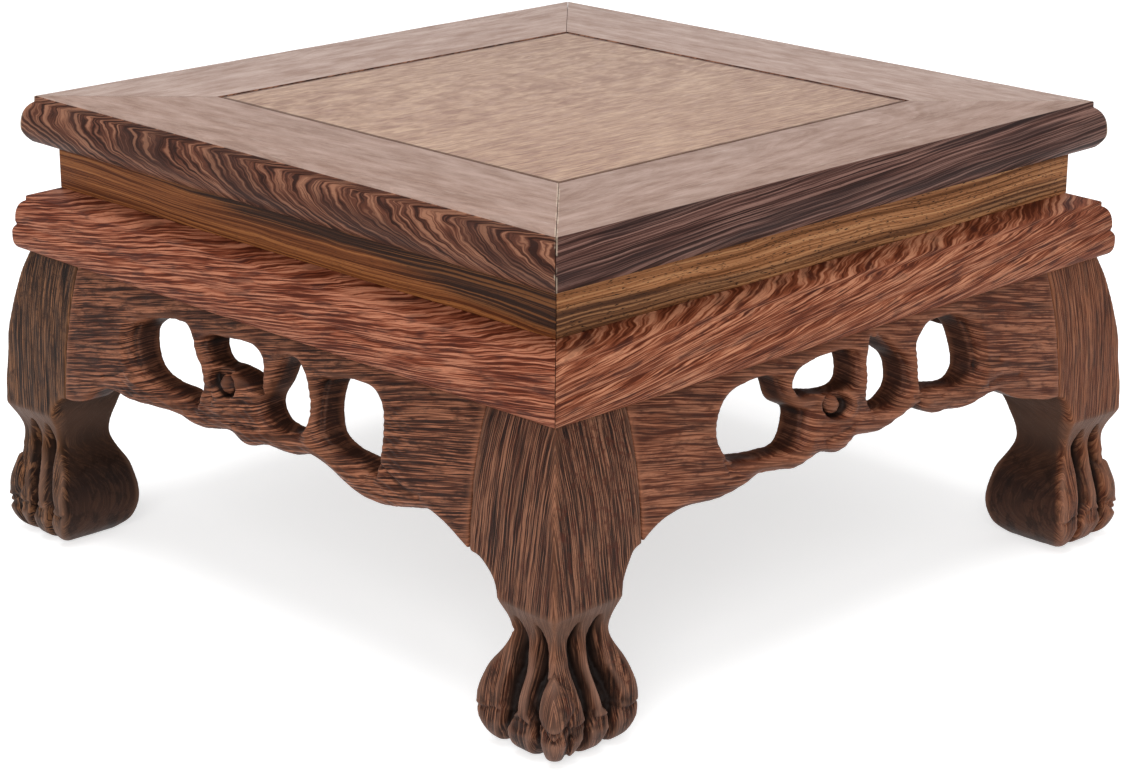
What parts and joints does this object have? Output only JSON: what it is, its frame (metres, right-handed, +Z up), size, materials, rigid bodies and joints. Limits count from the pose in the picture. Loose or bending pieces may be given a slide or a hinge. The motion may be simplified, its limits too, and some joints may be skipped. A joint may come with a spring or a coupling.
{
  "type": "display pedestal",
  "caption": "Low square wooden display pedestal: framed top, waist, moulded band, pierced plum-branch aprons and swelling legs with claw feet.",
  "frame": {"origin": "on the floor under the middle of the top", "axes": "+Z up; X and Y square to the sides, with the front side facing -Y"},
  "size_m": [0.2202, 0.2202, 0.1235],
  "materials": {
    "frame_wood": "oiled, rubbed dull on top",
    "panel_wood": "dull oiled",
    "waist_wood": "oiled",
    "band_wood": "oiled",
    "apron_wood": "oiled",
    "leg_wood": "oiled",
    "hidden_wood": "bare"
  },
  "bodies": {
    "root": {"front_top_rail": "frame_wood", "right_top_rail": "frame_wood", "back_top_rail": "frame_wood", "left_top_rail": "frame_wood", "top_panel": "panel_wood", "panel_batten": "hidden_wood", "front_waist_board": "waist_wood", "right_waist_board": "waist_wood", "back_waist_board": "waist_wood", "left_waist_board": "waist_wood", "front_band_moulding": "band_wood", "right_band_moulding": "band_wood", "back_band_moulding": "band_wood", "left_band_moulding": "band_wood", "front_apron": "apron_wood", "right_apron": "apron_wood", "back_apron": "apron_wood", "left_apron": "apron_wood", "front_right_leg": "leg_wood", "back_right_leg": "leg_wood", "back_left_leg": "leg_wood", "front_left_leg": "leg_wood"}
  },
  "joints": []
}
